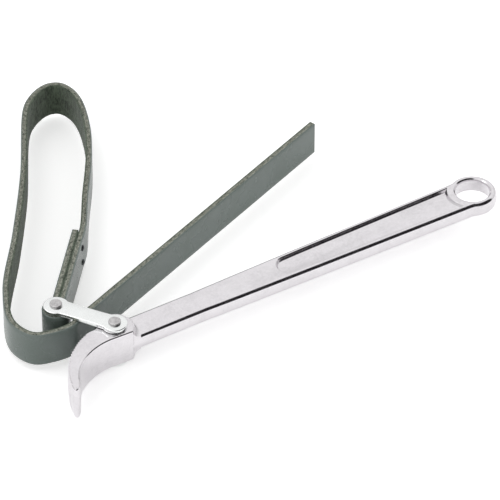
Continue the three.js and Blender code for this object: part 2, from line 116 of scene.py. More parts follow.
def arc(centre: Vector, radius: float, start: float, end: float, steps: int) -> Outline:
    """Return the points of an arc, both ends included."""
    return [polar(start + (end - start) * i / steps, radius, centre) for i in range(steps + 1)]


def even_angles(sweep: float, steps: int) -> list[float]:
    """Return evenly spaced angles from zero to a sweep, both included."""
    return [sweep * i / steps for i in range(steps + 1)]


def bezier(points: Sequence[Vector], steps: int) -> Outline:
    """Sample a cubic curve.

    Args:
        points: Its start, two handles and end.
        steps: How many stretches it is cut into.

    Returns:
        Evenly spread points, without the last.
    """
    a, b, c, d = points
    fine = []
    for i in range(20 * steps + 1):
        t = i / (20 * steps)
        s = 1 - t
        fine.append(a * s**3 + b * (3 * s * s * t) + c * (3 * s * t * t) + d * t**3)
    return even_points(fine, steps)[:-1]


def even_points(line: Outline, steps: int) -> Outline:
    """Spread points evenly along a line.

    Args:
        line: The line's own points.
        steps: How many equal stretches the result has.

    Returns:
        The new points, both ends included.
    """
    reach = [0.0]
    for before, after in zip(line, line[1:]):
        reach.append(reach[-1] + (after - before).length)
    result, k = [], 0
    for i in range(steps + 1):
        target = reach[-1] * i / steps
        while k < len(line) - 2 and reach[k + 1] < target:
            k += 1
        share = (target - reach[k]) / max(reach[k + 1] - reach[k], 1e-9)
        result.append(line[k].lerp(line[k + 1], min(share, 1.0)))
    return result


def normals_of(outline: Outline) -> Outline:
    """Return the outward normal at each point of a counterclockwise outline."""
    result = []
    for i in range(len(outline)):
        along = outline[(i + 1) % len(outline)] - outline[i - 1]
        result.append(flat(along.y, -along.x).normalized())
    return result


def inset(outline: Outline, distance: float) -> Outline:
    """Return the outline moved inwards by a distance."""
    return [p - n * distance for p, n in zip(outline, normals_of(outline))]


def new_object(name: str, mesh: bpy.types.Mesh) -> bpy.types.Object:
    """Link a mesh into the scene as an object."""
    made = bpy.data.objects.new(name, mesh)
    bpy.context.scene.collection.objects.link(made)
    return made


def object_from(name: str, bm: bmesh.types.BMesh, closed: bool = True) -> bpy.types.Object:
    """Turn a bmesh in millimetres into an object in metres; a closed one gets its faces outwards."""
    if closed:
        bmesh.ops.recalc_face_normals(bm, faces=bm.faces[:])
    mesh = bpy.data.meshes.new(name)
    bm.transform(Matrix.Scale(MM, 4))
    bm.to_mesh(mesh)
    bm.free()
    return new_object(name, mesh)


def stack(name: str, outline_at: Callable[[float], Outline], levels: Pairs) -> bpy.types.Object:
    """Make a closed body from one outline at several heights.

    Args:
        name: The object's name.
        outline_at: Gives the outline at an inset; always with the same number of points.
        levels: Height and inset of each ring, from the bottom up.

    Returns:
        The object.
    """
    bm = bmesh.new()
    rings = [[bm.verts.new((p.x, p.y, z)) for p in outline_at(step)] for z, step in levels]
    for lower, upper in zip(rings, rings[1:]):
        for i in range(len(lower)):
            j = (i + 1) % len(lower)
            bm.faces.new((lower[i], lower[j], upper[j], upper[i]))
    bm.faces.new(rings[0][::-1])
    bm.faces.new(rings[-1])
    return object_from(name, bm)


def rounded_levels(
    low: float, high: float, radius: float, corner: Corner, draft: float = 0.0
) -> Pairs:
    """Give the levels of a body with round edges.

    Args:
        low: Height of the bottom face.
        high: Height of the top face.
        radius: Radius of both edges.
        corner: How finely the edges are rounded.
        draft: How far the sides lean in from the parting line at mid height.

    Returns:
        Height and inset of each level.
    """
    steps = corner.value
    edge = []
    for i in range(steps + 1):
        angle = math.pi / 2 * i / steps
        edge.append((radius * (1 - math.cos(angle)), draft + radius * (1 - math.sin(angle))))
    bottom = [(low + rise, step) for rise, step in edge]
    top = [(high - rise, step) for rise, step in reversed(edge)]
    middle = [((low + high) / 2, 0.0)] if draft else []
    return bottom + middle + top


def turned(name: str, profile: Sequence[tuple[float, float]], sides: int = 48) -> bpy.types.Object:
    """Make a solid of revolution about Z.

    Args:
        name: The object's name.
        profile: Radius and height of each point; a ring profile closes on itself.
        sides: How many sides the circle has.

    Returns:
        The object.
    """
    bm = bmesh.new()
    on_axis = profile[0][0] == 0
    rings = []
    for radius, z in profile:
        if radius == 0:
            rings.append([bm.verts.new((0, 0, z))])
        else:
            places = arc(flat(0, 0), radius, 0, 2 * math.pi, sides)[:-1]
            rings.append([bm.verts.new((p.x, p.y, z)) for p in places])
    pairs = list(zip(rings, rings[1:])) + ([] if on_axis else [(rings[-1], rings[0])])
    for a, b in pairs:
        for i in range(sides):
            j = (i + 1) % sides
            corners = [a[i % len(a)], a[j % len(a)], b[j % len(b)], b[i % len(b)]]
            bm.faces.new(list(dict.fromkeys(corners)))
    return object_from(name, bm)


def applied(obj: bpy.types.Object) -> bpy.types.Object:
    """Turn an object's modifiers into its own mesh."""
    bpy.context.view_layer.update()
    evaluated = obj.evaluated_get(bpy.context.evaluated_depsgraph_get())
    mesh = bpy.data.meshes.new_from_object(evaluated)
    obj.modifiers.clear()
    obj.data = mesh
    return obj


def combine(body: bpy.types.Object, tool: bpy.types.Object, operation: str) -> bpy.types.Object:
    """Join or cut a body with a tool, and remove the tool.

    Args:
        body: The object that is kept.
        tool: The object that joins or cuts it.
        operation: UNION, DIFFERENCE or INTERSECT.

    Returns:
        The body.
    """
    modifier = body.modifiers.new("combine", "BOOLEAN")
    modifier.operation = operation
    modifier.solver = "EXACT"
    modifier.object = tool
    applied(body)
    bpy.data.objects.remove(tool)
    return body


def smooth(obj: bpy.types.Object, degrees: float) -> bpy.types.Object:
    """Shade a mesh smooth up to an angle between its faces."""
    obj.data.polygons.foreach_set("use_smooth", [True] * len(obj.data.polygons))
    obj.data.set_sharp_from_angle(angle=math.radians(degrees))
    return obj


# ---------------------------------------------------------------- node trees


def linear(colour: str) -> tuple[float, float, float, float]:
    """Turn an sRGB hex colour into linear red, green, blue and alpha."""
    parts = [int(colour[i : i + 2], 16) / 255 for i in (0, 2, 4)]
    turned_parts = [c / 12.92 if c <= 0.04045 else ((c + 0.055) / 1.055) ** 2.4 for c in parts]
    return (*turned_parts, 1.0)


def add_node(
    tree: bpy.types.NodeTree, kind: str, inputs: dict | None = None, **settings: object
) -> bpy.types.Node:
    """Add a node with its settings, values and links.

    Args:
        tree: The tree that takes it.
        kind: The node's type.
        inputs: Value, or output socket to link, for each input by name or number.
        **settings: The node's own attributes.

    Returns:
        The node.
    """
    made = tree.nodes.new(kind)
    for key, value in settings.items():
        setattr(made, key, value)
    for key, value in (inputs or {}).items():
        if isinstance(value, bpy.types.NodeSocket):
            tree.links.new(value, made.inputs[key])
        else:
            made.inputs[key].default_value = value
    return made


@dataclass(frozen=True)
class Finish:
    """A surface: one shader whose colour, roughness and bump vary with noise at real sizes."""

    name: str
    colour: str
    second: str
    metallic: float
    roughness: tuple[float, float]
    grain_mm: float
    bump_mm: float
    patch_mm: float
    sheen: float = 0.0
    stretch: tuple[float, float, float] = (1.0, 1.0, 1.0)
    follows_strap: bool = False

    def build(self) -> bpy.types.Material:
        """Build the material."""
        material = bpy.data.materials.new(self.name)
        material.use_nodes = True
        tree = material.node_tree
        tree.nodes.clear()
        place = add_node(tree, "ShaderNodeTexCoord")
        source = place.outputs["UV" if self.follows_strap else "Object"]
        spread = add_node(tree, "ShaderNodeMapping", {"Vector": source, "Scale": self.stretch})
        vector = spread.outputs["Vector"]
        grain = add_node(
            tree,
            "ShaderNodeTexNoise",
            {"Vector": vector, "Scale": 1 / (self.grain_mm * MM), "Detail": 4.0, "Roughness": 0.6},
        )
        patches = add_node(
            tree,
            "ShaderNodeTexNoise",
            {"Vector": vector, "Scale": 1 / (self.patch_mm * MM), "Detail": 3.0, "Roughness": 0.55},
        )
        share = add_node(
            tree,
            "ShaderNodeMath",
            {0: grain.outputs["Fac"], 1: patches.outputs["Fac"]},
            operation="MULTIPLY",
        )
        spread_share = add_node(tree, "ShaderNodeMapRange", {0: share.outputs[0], 1: 0.15, 2: 0.38})
        mixed = add_node(
            tree,
            "ShaderNodeMix",
            {0: spread_share.outputs[0], 6: linear(self.colour), 7: linear(self.second)},
            data_type="RGBA",
        )
        rough = add_node(
            tree,
            "ShaderNodeMapRange",
            {0: patches.outputs["Fac"], 1: 0.3, 2: 0.7, 3: self.roughness[0], 4: self.roughness[1]},
        )
        bump = add_node(
            tree,
            "ShaderNodeBump",
            {"Height": grain.outputs["Fac"], "Distance": self.bump_mm * MM, "Strength": 1.0},
        )
        shader = add_node(
            tree,
            "ShaderNodeBsdfPrincipled",
            {
                "Base Color": mixed.outputs[2],
                "Metallic": self.metallic,
                "Roughness": rough.outputs[0],
                "Normal": bump.outputs["Normal"],
                "Sheen Weight": self.sheen,
            },
        )
        add_node(tree, "ShaderNodeOutputMaterial", {"Surface": shader.outputs["BSDF"]})
        return material


# Bright chrome over a tumbled forging: near-mirror, with a faint orange-peel wave from the die.
FORGED_CHROME = Finish("chromed_forging", "E4E1E4", "DBD8DB", 1.0, (0.15, 0.22), 1.4, 0.008, 9.0)
# Punched strip, zinc plated: paler and duller than the forging.
PLATED_STRIP = Finish("plated_strip", "F2F4F3", "ECEEED", 1.0, (0.2, 0.26), 0.7, 0.003, 5.0)
# Peened rivet heads: grey steel with the hammer's fine dimples.
PEENED_STEEL = Finish("peened_steel", "CDCBCB", "AFADAE", 1.0, (0.3, 0.44), 0.9, 0.06, 2.0)
# Tubular strap rivets, coloured dark grey all over: painted shade standing in for the dark of their hollow
# bores.
PAINTED_SHADE_RIVETS = Finish("dark_rivets_painted_shade", "55565A", "3A3B3D", 1.0, (0.4, 0.55), 0.8, 0.03, 2.0)
# Calendered elastomer cover: grey green and smooth, so that it shines at a low angle.
STRAP_COVER = Finish(
    "strap_cover", "69736F", "606B65", 0.0, (0.22, 0.32), 0.8, 0.02, 18.0, follows_strap=True
)
# Cut edge of the fabric core: pale and dark threads side by side.
STRAP_CORE = Finish(
    "strap_core", "A2A497", "2C352E", 0.0, (0.9, 1.0), 0.5, 0.4, 1.1,
    stretch=(0.6, 1.0, 1.0), follows_strap=True,
)
# Chrome-leather grip face: dark green suede with a short nap.
GRIP_SUEDE = Finish(
    "grip_suede", "5E6A59", "2A3527", 0.0, (0.95, 1.0), 0.8, 0.5, 3.2,
    sheen=0.2, stretch=(1.0, 0.35, 1.0), follows_strap=True,
)


def dress(obj: bpy.types.Object, finish: bpy.types.Material) -> bpy.types.Object:
    """Give an object one material."""
    obj.data.materials.clear()
    obj.data.materials.append(finish)
    return obj


def geometry_tree(name: str, sockets: Sequence[tuple[str, str]]) -> bpy.types.NodeTree:
    """Start a geometry tree.

    Args:
        name: The tree's name.
        sockets: Name and socket type of each input after the geometry.

    Returns:
        The tree, with its interface but no nodes.
    """
    tree = bpy.data.node_groups.new(name, "GeometryNodeTree")
    tree.interface.new_socket("Geometry", in_out="OUTPUT", socket_type="NodeSocketGeometry")
    tree.interface.new_socket("Geometry", in_out="INPUT", socket_type="NodeSocketGeometry")
    for label, kind in sockets:
        tree.interface.new_socket(label, in_out="INPUT", socket_type=kind)
    return tree


def grown(obj: bpy.types.Object, tree: bpy.types.NodeTree, values: dict[str, object]) -> bpy.types.Object:
    """Run a geometry tree on an object and keep the result as its mesh.

    Args:
        obj: The object.
        tree: The geometry tree.
        values: Value of each named input.

    Returns:
        The object.
    """
    modifier = obj.modifiers.new("grown", "NODES")
    modifier.node_group = tree
    for item in tree.interface.items_tree:
        if item.in_out == "INPUT" and item.name in values:
            modifier[item.identifier] = values[item.name]
    return applied(obj)


def row_tree() -> bpy.types.NodeTree:
    """Build the tree that repeats a shape in a row."""
    sockets = (("Count", "NodeSocketInt"), ("Spacing", "NodeSocketVector"), ("Finish", "NodeSocketMaterial"))
    tree = geometry_tree("row", sockets)
    source = add_node(tree, "NodeGroupInput")
    line = add_node(
        tree,
        "GeometryNodeMeshLine",
        {"Count": source.outputs["Count"], "Offset": source.outputs["Spacing"]},
        mode="OFFSET",
    )
    copies = add_node(
        tree,
        "GeometryNodeInstanceOnPoints",
        {"Points": line.outputs[0], "Instance": source.outputs["Geometry"]},
    )
    real = add_node(tree, "GeometryNodeRealizeInstances", {0: copies.outputs[0]})
    coloured = add_node(
        tree,
        "GeometryNodeSetMaterial",
        {"Geometry": real.outputs[0], "Material": source.outputs["Finish"]},
    )
    add_node(tree, "NodeGroupOutput", {0: coloured.outputs[0]})
    return tree


def fibre_tree() -> bpy.types.NodeTree:
    """Build the tree that sets short fibres on the strap's cut edges."""
    sockets = (
        ("Density", "NodeSocketFloat"),
        ("Length", "NodeSocketFloat"),
        ("Radius", "NodeSocketFloat"),
        ("Lean", "NodeSocketFloat"),
        ("Seed", "NodeSocketInt"),
        ("Finish", "NodeSocketMaterial"),
    )
    tree = geometry_tree("fibres", sockets)
    source = add_node(tree, "NodeGroupInput")
    points = add_node(
        tree,
        "GeometryNodeDistributePointsOnFaces",
        {
            "Mesh": source.outputs["Geometry"],
            "Density": source.outputs["Density"],
            "Seed": source.outputs["Seed"],
        },
    )
    fibre = add_node(
        tree,
        "GeometryNodeMeshCone",
        {
            "Vertices": 3,
            "Radius Top": 0.0,
            "Radius Bottom": source.outputs["Radius"],
            "Depth": source.outputs["Length"],
        },
    )
    lean = source.outputs["Lean"]
    opposite = add_node(tree, "ShaderNodeMath", {0: lean, 1: -1.0}, operation="MULTIPLY")
    most = add_node(tree, "ShaderNodeCombineXYZ", {"X": lean, "Y": lean, "Z": math.pi})
    least = add_node(
        tree,
        "ShaderNodeCombineXYZ",
        {"X": opposite.outputs[0], "Y": opposite.outputs[0], "Z": -math.pi},
    )
    turn = add_node(
        tree,
        "FunctionNodeRandomValue",
        {0: least.outputs[0], 1: most.outputs[0], "Seed": source.outputs["Seed"]},
        data_type="FLOAT_VECTOR",
    )
    leaning = add_node(tree, "FunctionNodeEulerToRotation", {0: turn.outputs[0]})
    rotation = add_node(
        tree,
        "FunctionNodeRotateRotation",
        {0: points.outputs["Rotation"], 1: leaning.outputs[0]},
        rotation_space="LOCAL",
    )
    copies = add_node(
        tree,
        "GeometryNodeInstanceOnPoints",
        {
            "Points": points.outputs["Points"],
            "Instance": fibre.outputs["Mesh"],
            "Rotation": rotation.outputs[0],
        },
    )
    real = add_node(tree, "GeometryNodeRealizeInstances", {0: copies.outputs[0]})
    coloured = add_node(
        tree,
        "GeometryNodeSetMaterial",
        {"Geometry": real.outputs[0], "Material": source.outputs["Finish"]},
    )
    add_node(tree, "NodeGroupOutput", {0: coloured.outputs[0]})
    return tree


# ---------------------------------------------------------------- handle


@dataclass
class Handle:
    """The one-piece forging: toothed claw, shank with a panel on each face, and hanging ring."""

    ring_radius: float = 11.7
    hole_radius: float = 8.2
    shank_thickness: float = 8.0
    half_width_at_claw: float = 7.7
    half_width_at_ring: float = 10.4
    straight_to: float = 45.0
    shank_start: float = 5.0
    shank_edge: float = 2.0
    shank_draft: float = 0.35
    boss_radius: float = 9.4
    boss_fillet: float = 2.5
    claw_edge: float = 1.0
    claw_draft: float = 0.3
    panel_start: float = 88.0
    panel_rim: float = 2.9
    panel_depth: float = 1.9
    panel_draft: float = 0.9
    panel_lip: float = 0.65
    ring_wall: float = 4.2
    hole_lip: float = 1.5
    pivot_hole: float = 2.5
    tooth_pitch: float = 1.6
    tooth_depth: float = 0.55
    low: Vector = field(default_factory=lambda: node_box("forged_handle")[0])
    high: Vector = field(default_factory=lambda: node_box("forged_handle")[1])

    @property
    def ring_x(self) -> float:
        """Distance from the pivot to the ring's centre."""
        return self.high.x - self.ring_radius

    @property
    def middle(self) -> float:
        """Height of the parting line."""
        return (self.low.z + self.high.z) / 2

    def half_width(self, x: float) -> float:
        """Return half the shank's width at a distance from the pivot."""
        share = min(max((x - self.straight_to) / (self.ring_x - self.straight_to), 0.0), 1.0)
        return self.half_width_at_claw + (self.half_width_at_ring - self.half_width_at_claw) * share**0.8

    def shank_outline(self) -> Outline:
        """Return the shank and ring as one counterclockwise outline."""
        meet = math.pi - math.asin(self.half_width_at_ring / self.ring_radius)
        meet_x = self.ring_x + self.ring_radius * math.cos(meet) - 2
        places = [self.straight_to + (meet_x - self.straight_to) * i / 24 for i in range(25)]
        lower = [flat(x, -self.half_width(x)) for x in [self.shank_start, *places]]
        ring = arc(flat(self.ring_x, 0), self.ring_radius, -meet, meet, 72)
        return lower + ring + [flat(p.x, -p.y) for p in reversed(lower)]

    def panel_outline(self, step: float) -> Outline:
        """Return the panel's outline at an inset."""
        rim = self.panel_rim + step
        end_radius = self.hole_radius + self.ring_wall + step
        far_half = self.half_width(self.ring_x - end_radius) - rim
        far_angle = math.asin(far_half / end_radius)
        far_x = self.ring_x - end_radius * math.cos(far_angle)
        near_half = self.half_width(self.panel_start) - rim
        near_x = self.panel_start + step + near_half
        sides = [near_x + (far_x - near_x) * i / 12 for i in range(1, 12)]
        points = arc(flat(near_x, 0), near_half, math.pi / 2, 3 * math.pi / 2, 24)
        points += [flat(x, rim - self.half_width(x)) for x in sides]
        points += arc(flat(self.ring_x, 0), end_radius, math.pi + far_angle, math.pi - far_angle, 24)
        points += [flat(x, self.half_width(x) - rim) for x in reversed(sides)]
        return points

    def claw_outline(self, step: float) -> Outline:
        """Return the claw's outline at an inset, with its teeth."""
        start, end = math.radians(-56), math.radians(158)
        boss_end = polar(end, self.boss_radius)
        nose_back, nose_tip, nose_front = flat(-37.2, -24.6), flat(-35.9, -28.7), flat(-31.2, -22.4)
        throat = flat(-5.8, -7.3)
        back = (boss_end, flat(-19.8, 4.6), flat(-34.6, -10.6), nose_back)
        length = sum((b - a).length for a, b in zip(bezier(back, 40), bezier(back, 40)[1:]))
        teeth = round(length / self.tooth_pitch)
        points = arc(flat(0, 0), self.boss_radius, start, end, 64)[:-1]
        first = len(points) + 7
        points += bezier(back, 2 * teeth)
        last = len(points)
        points += bezier((nose_back, flat(-38.1, -27.9), flat(-37.4, -29.1), nose_tip), 10)
        points += bezier((nose_tip, flat(-33.8, -28), flat(-32.6, -25.2), nose_front), 10)
        points += bezier((nose_front, flat(-27.6, -13.6), flat(-16.5, -7.3), throat), 36)
        points.append(throat)
        normals = normals_of(points)
        toothed = [first <= i < last and (i - first) % 2 == 1 for i in range(len(points))]
        depth = [self.tooth_depth if cut else 0.0 for cut in toothed]
        return [p - n * (step + d) for p, n, d in zip(points, normals, depth)]

    def panel_tool(self, side: int) -> bpy.types.Object:
        """Make the cutter of one panel, with a round lip and a fillet at its floor.

        Args:
            side: 1 for the upper face, -1 for the lower.

        Returns:
            The cutter.
        """
        face = self.middle + side * self.shank_thickness / 2
        lip, draft, depth = self.panel_lip, self.panel_draft, self.panel_depth
        drop_and_inset = [(-1.0, -lip), (0.0, -lip)]
        drop_and_inset += [(lip * (1 - math.cos(a)), -lip * (1 - math.sin(a))) for a in (0.5, 1.0, 1.4)]
        drop_and_inset += [(depth - 0.45, draft * 0.55), (depth - 0.2, draft * 0.75), (depth, draft * 1.3)]
        levels = [(face - side * drop, step) for drop, step in drop_and_inset]
        return stack("panel_tool", self.panel_outline, levels if side < 0 else levels[::-1])

    def boss_fillet_body(self, side: int) -> bpy.types.Object:
        """Make the fillet where the boss stands on the shank.

        Args:
            side: 1 for the upper face, -1 for the lower.

        Returns:
            The fillet, kept within the shank's width.
        """
        face, fillet = self.shank_thickness / 2, self.boss_fillet
        reach = self.boss_radius + fillet
        turns = even_angles(math.pi / 2, 12)
        curve = [(reach - fillet * math.sin(a), fillet * (1 - math.cos(a))) for a in turns]
        profile = [(0.0, -self.shank_edge), (reach, -self.shank_edge), *curve, (0.0, fillet)]
        body = turned("boss_fillet", [(r, face + z) for r, z in profile], 120)
        body.data.transform(Matrix.Translation((0, 0, self.middle * MM)) @ Matrix.Diagonal((1, 1, side, 1)))
        if side < 0:
            body.data.flip_normals()
        half = self.half_width_at_claw - self.shank_draft - 0.1
        band = [flat(0, -half), flat(reach + 1, -half), flat(reach + 1, half), flat(0, half)]
        tall = 2 * self.shank_thickness
        levels = [(self.middle - tall, 0.0), (self.middle + tall, 0.0)]
        return combine(body, stack("shank_band", lambda step: band, levels), "INTERSECT")

    def hole_tool(self) -> bpy.types.Object:
        """Make the cutter of the hanging hole, with a round lip at each face."""
        low = self.middle - self.shank_thickness / 2
        high = self.middle + self.shank_thickness / 2
        lip, radius = self.hole_lip, self.hole_radius
        lower = [(low - 1, radius + lip), (low, radius + lip)]
        lower += [(low + lip * (1 - math.cos(a)), radius + lip * (1 - math.sin(a))) for a in (0.5, 1.0, 1.5)]
        upper = [(low + high - z, r) for z, r in reversed(lower)]
        wall = [(r, z) for z, r in lower + upper]
        tool = turned("hole_tool", [(0.0, low - 1), *wall, (0.0, high + 1)], 96)
        tool.data.transform(Matrix.Translation((self.ring_x * MM, 0, 0)))
        return tool

    def build(self) -> None:
        """Build and dress the handle."""
        claw_levels = rounded_levels(self.low.z, self.high.z, self.claw_edge, Corner.PUNCHED, self.claw_draft)
        body = stack("handle_forging", self.claw_outline, claw_levels)
        half = self.shank_thickness / 2
        shank_levels = rounded_levels(
            self.middle - half, self.middle + half, self.shank_edge, Corner.FORGED, self.shank_draft
        )
        outline = self.shank_outline()
        combine(body, stack("shank", lambda step: inset(outline, step), shank_levels), "UNION")
        combine(body, self.boss_fillet_body(1), "UNION")
        combine(body, self.boss_fillet_body(-1), "UNION")
        combine(body, self.panel_tool(1), "DIFFERENCE")
        combine(body, self.panel_tool(-1), "DIFFERENCE")
        combine(body, self.hole_tool(), "DIFFERENCE")
        pin = [(0.0, 0.0), (self.pivot_hole, 0.0), (self.pivot_hole, 2 * self.middle), (0.0, 2 * self.middle)]
        combine(body, turned("pivot_tool", pin), "DIFFERENCE")
        smooth(body, 28)
        dress(body, FORGED_CHROME.build())
        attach(body, "handle")
        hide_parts("forged_handle")
        log.info("handle: %d faces", len(body.data.polygons))


# ---------------------------------------------------------------- link


@dataclass
class Link:
    """Two dog-bone plates, their two peened rivets and the spacer tube."""

    end_radius: float = 5.9
    waist_half_width: float = 4.4
    plate_edge: float = 0.45
    end_sweep: float = math.radians(128)
    head_radius: float = 2.9
    head_edge: float = 0.3
    shank_radius: float = 2.2
    eye: Vector = field(default_factory=lambda: Vector(JOINTS["strap_eye_pivot"]["pos_m"]).to_2d() / MM)

    def plate_outline(self) -> Outline:
        """Return the outline of a plate, counterclockwise, in the part's own frame."""
        length, sweep = self.eye.length, self.end_sweep
        waist = 2 * self.waist_half_width - self.end_radius * math.sin(math.pi - sweep)
        eye_end = arc(flat(length, 0), self.end_radius, -sweep, sweep, 44)
        pivot_end = arc(flat(0, 0), self.end_radius, math.pi - sweep, math.pi + sweep, 44)

        def side(start: Vector, bend: Vector, end: Vector) -> Outline:
            """Return the points between two ends of a curve that leans towards a bend."""
            steps = [i / 20 for i in range(1, 20)]
            return [start * (1 - t) ** 2 + bend * (2 * t * (1 - t)) + end * t * t for t in steps]

        middle = length / 2
        points = eye_end + side(eye_end[-1], flat(middle, waist), pivot_end[0])
        points += pivot_end + side(pivot_end[-1], flat(middle, -waist), eye_end[0])
        turn = Matrix.Rotation(math.atan2(self.eye.y, self.eye.x), 2)
        return [turn @ p for p in points]

    def build(self) -> None:
        """Build and dress the plates, rivets and spacer."""
        row = row_tree()
        plated, peened = PLATED_STRIP.build(), PEENED_STEEL.build()
        low, high = node_box("link_plate_lower")
        upper = node_box("link_plate_upper")[0]
        outline = self.plate_outline()
        levels = rounded_levels(low.z, high.z, self.plate_edge, Corner.PUNCHED)
        plates = stack("link_plates", lambda step: inset(outline, step), levels)
        rise = (0.0, 0.0, (upper.z - low.z) * MM)
        grown(plates, row, {"Count": 2, "Spacing": rise, "Finish": plated})
        smooth(plates, 32)
        rivets = turned("link_rivets", self.rivet_profile(low.z, node_box("pivot_rivet")[1].z), 64)
        apart = (self.eye.x * MM, self.eye.y * MM, 0.0)
        grown(rivets, row, {"Count": 2, "Spacing": apart, "Finish": peened})
        smooth(rivets, 32)
        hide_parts("link_plate_lower", "link_plate_upper")
        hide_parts("pivot_rivet", "eye_rivet")
        for piece, slot in ((plates, "plate_steel"), (rivets, "rivet_steel")):
            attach(piece, "link")
            log.info("%s: %d faces", piece.name, len(piece.data.polygons))
        dress(frame["nodes"]["eye_spacer"], peened)

    def rivet_profile(self, head: float, top: float) -> Pairs:
        """Return a rivet's profile: slightly crowned heads with round edges, and its shank."""
        radius, edge = self.head_radius, self.head_edge
        crown = [(0.0, 0.0), (radius * 0.55, 0.01), (radius - 2 * edge, 0.05)]
        rim = [
            (radius - edge * (1 - math.sin(a)), 0.07 + edge * (1 - math.cos(a)))
            for a in (0.3, 0.8, 1.2, 1.57)
        ]
        lower = crown + rim + [(radius, head), (self.shank_radius, head)]
        return lower + [(r, top - z) for r, z in reversed(lower)]


# ---------------------------------------------------------------- strap


@dataclass(frozen=True)
class Layer:
    """One layer of the laminate: its offsets from the middle, its slot and its edge's radius."""

    name: str
    inner: float
    outer: float
    slot: str
    edge: float


@dataclass
class Strap:
    """The laminated strap: eye, loop and free end, with the two hollow rivets that close the eye."""

    width: float = 17.5
    eye_radius: float = 5.1
    run_gap: float = 0.12
    bend_radius: float = 5.0
    doubled_length: float = 57.0
    doubled_angle: float = math.radians(49.3)
    tail_length: float = 178.0
    crossing: float = 17.2
    rivet_from_eye: float = 49.5
    rivet_spacing: float = 8.6
    rivet_radius: float = 0.9
    rivet_bore: float = 0.4
    rivet_head_radius: float = 1.6
    rivet_head_height: float = 0.8
    rigid_reach: float = 60.0
    kept_share: float = 0.22
    fibre_density: float = 2.2e6
    fibre_length: float = 1.1
    short_fibre_length: float = 0.28
    fibre_radius: float = 0.07
    fibre_lean: float = 1.1
    fibre_seed: int = 7
    fray_depth: float = 0.12
    between_plates: tuple[str, ...] = ("tail", "near_loop", "eye")
    layers: tuple[Layer, ...] = (
        Layer("grip_face", -1.5, -0.8, "strap_grip", 0.25),
        Layer("core", -0.8, 0.9, "strap_core", 0.0),
        Layer("cover", 0.9, 1.5, "strap_cover", 0.3),
    )
    eye: Vector = field(default_factory=lambda: Vector(JOINTS["strap_eye_pivot"]["pos_m"]).to_2d() / MM)
    draw: Vector = field(default_factory=lambda: Vector(JOINTS["strap_pull"]["axis"]).to_2d())

    def __post_init__(self) -> None:
        """Work out the strap's middle line, its sides and where it is divided."""
        box = node_box("strap_core")
        self.middle = (box[0].z + box[1].z) / 2
        self.thickness = self.layers[-1].outer - self.layers[0].inner
        self.spacing = self.thickness + self.run_gap
        self.along = polar(self.doubled_angle, 1)
        self.outwards = polar(self.doubled_angle - math.pi / 2, 1)
        self.gate = self.eye.normalized() * self.crossing
        tail = [self.gate + self.draw * (self.tail_length * (1 - i / 120)) for i in range(120)]
        loop = self.loop_line()
        eye = self.eye_line()
        self.line = tail + loop + eye
        self.sides = self.side_vectors()
        self.reach = [0.0]
        for before, after in zip(self.line, self.line[1:]):
            self.reach.append(self.reach[-1] + (after - before).length)
        self.tail_end = len(tail)
        far = max(loop, key=lambda p: (p - self.eye).length)
        self.long_axis = (far - self.eye).normalized()
        self.fold_anchor = self.on_outer_run(self.rigid_reach)
        beyond = [(p - self.fold_anchor).dot(self.long_axis) > 0 for p in loop]
        self.fold_start = len(tail) + beyond.index(True)
        self.fold_end = len(tail) + len(loop) - 1 - beyond[::-1].index(True)

    def from_eye(self, along: float, outwards: float) -> Vector:
        """Return a point by its distance from the eye along the doubled run and its step outwards."""
        return self.eye + self.along * along + self.outwards * outwards

    def on_outer_run(self, distance: float) -> Vector:
        """Return a point of the outer run, at a distance from the eye."""
        return self.from_eye(distance, self.spacing / 2)

    def loop_line(self) -> Outline:
        """Return the middle line from the link round the loop to the doubled stretch."""
        hand_chosen = (
            (-27, 12.2), (-34.3, 15.3), (-38, 27.3), (-29.4, 48.8), (-6, 81), (19.3, 117.9), (44.9, 160.3),
            (51.2, 166.4), (58.5, 170.3), (64.2, 171), (68.6, 168.6), (70.9, 162), (70.2, 152.2),
            (63, 132.3), (51.8, 112), (36, 88.3),
        )
        points = [self.gate, self.gate - self.draw * 8] + [flat(x, y) for x, y in hand_chosen]
        points += [self.on_outer_run(self.doubled_length + 3), self.on_outer_run(self.doubled_length - 8)]
        return even_points(self.rounded(points), 260)

    @staticmethod
    def rounded(points: Outline) -> Outline:
        """Return a centripetal curve through points, finely sampled."""
        padded = [points[0] * 2 - points[1], *points, points[-1] * 2 - points[-2]]
        result = []
        for p0, p1, p2, p3 in zip(padded, padded[1:], padded[2:], padded[3:]):
            t1 = math.sqrt((p1 - p0).length)
            t2 = t1 + math.sqrt((p2 - p1).length)
            t3 = t2 + math.sqrt((p3 - p2).length)
            for i in range(40):
                t = t1 + (t2 - t1) * i / 40
                a1 = p0 * ((t1 - t) / t1) + p1 * (t / t1)
                a2 = p1 * ((t2 - t) / (t2 - t1)) + p2 * ((t - t1) / (t2 - t1))
                a3 = p2 * ((t3 - t) / (t3 - t2)) + p3 * ((t - t2) / (t3 - t2))
                b1 = a1 * ((t2 - t) / t2) + a2 * (t / t2)
                b2 = a2 * ((t3 - t) / (t3 - t1)) + a3 * ((t - t1) / (t3 - t1))
                result.append(b1 * ((t2 - t) / (t2 - t1)) + b2 * ((t - t1) / (t2 - t1)))
        result.append(points[-1])
        return result

    def eye_line(self) -> Outline:
        """Return the middle line down the outer run, round the spacer and back up the inner run."""
        bend_out = self.spacing / 2 + self.bend_radius
        bend_along = math.sqrt((self.eye_radius + self.bend_radius) ** 2 - bend_out**2)
        leave = math.atan2(bend_out, bend_along)

        def sweep(centre: Vector, radius: float, start: float, end: float, steps: int) -> Outline:
            """Return an arc given in the doubled run's own directions."""
            return [self.from_eye(p.x, p.y) for p in arc(centre, radius, start, end, steps)]

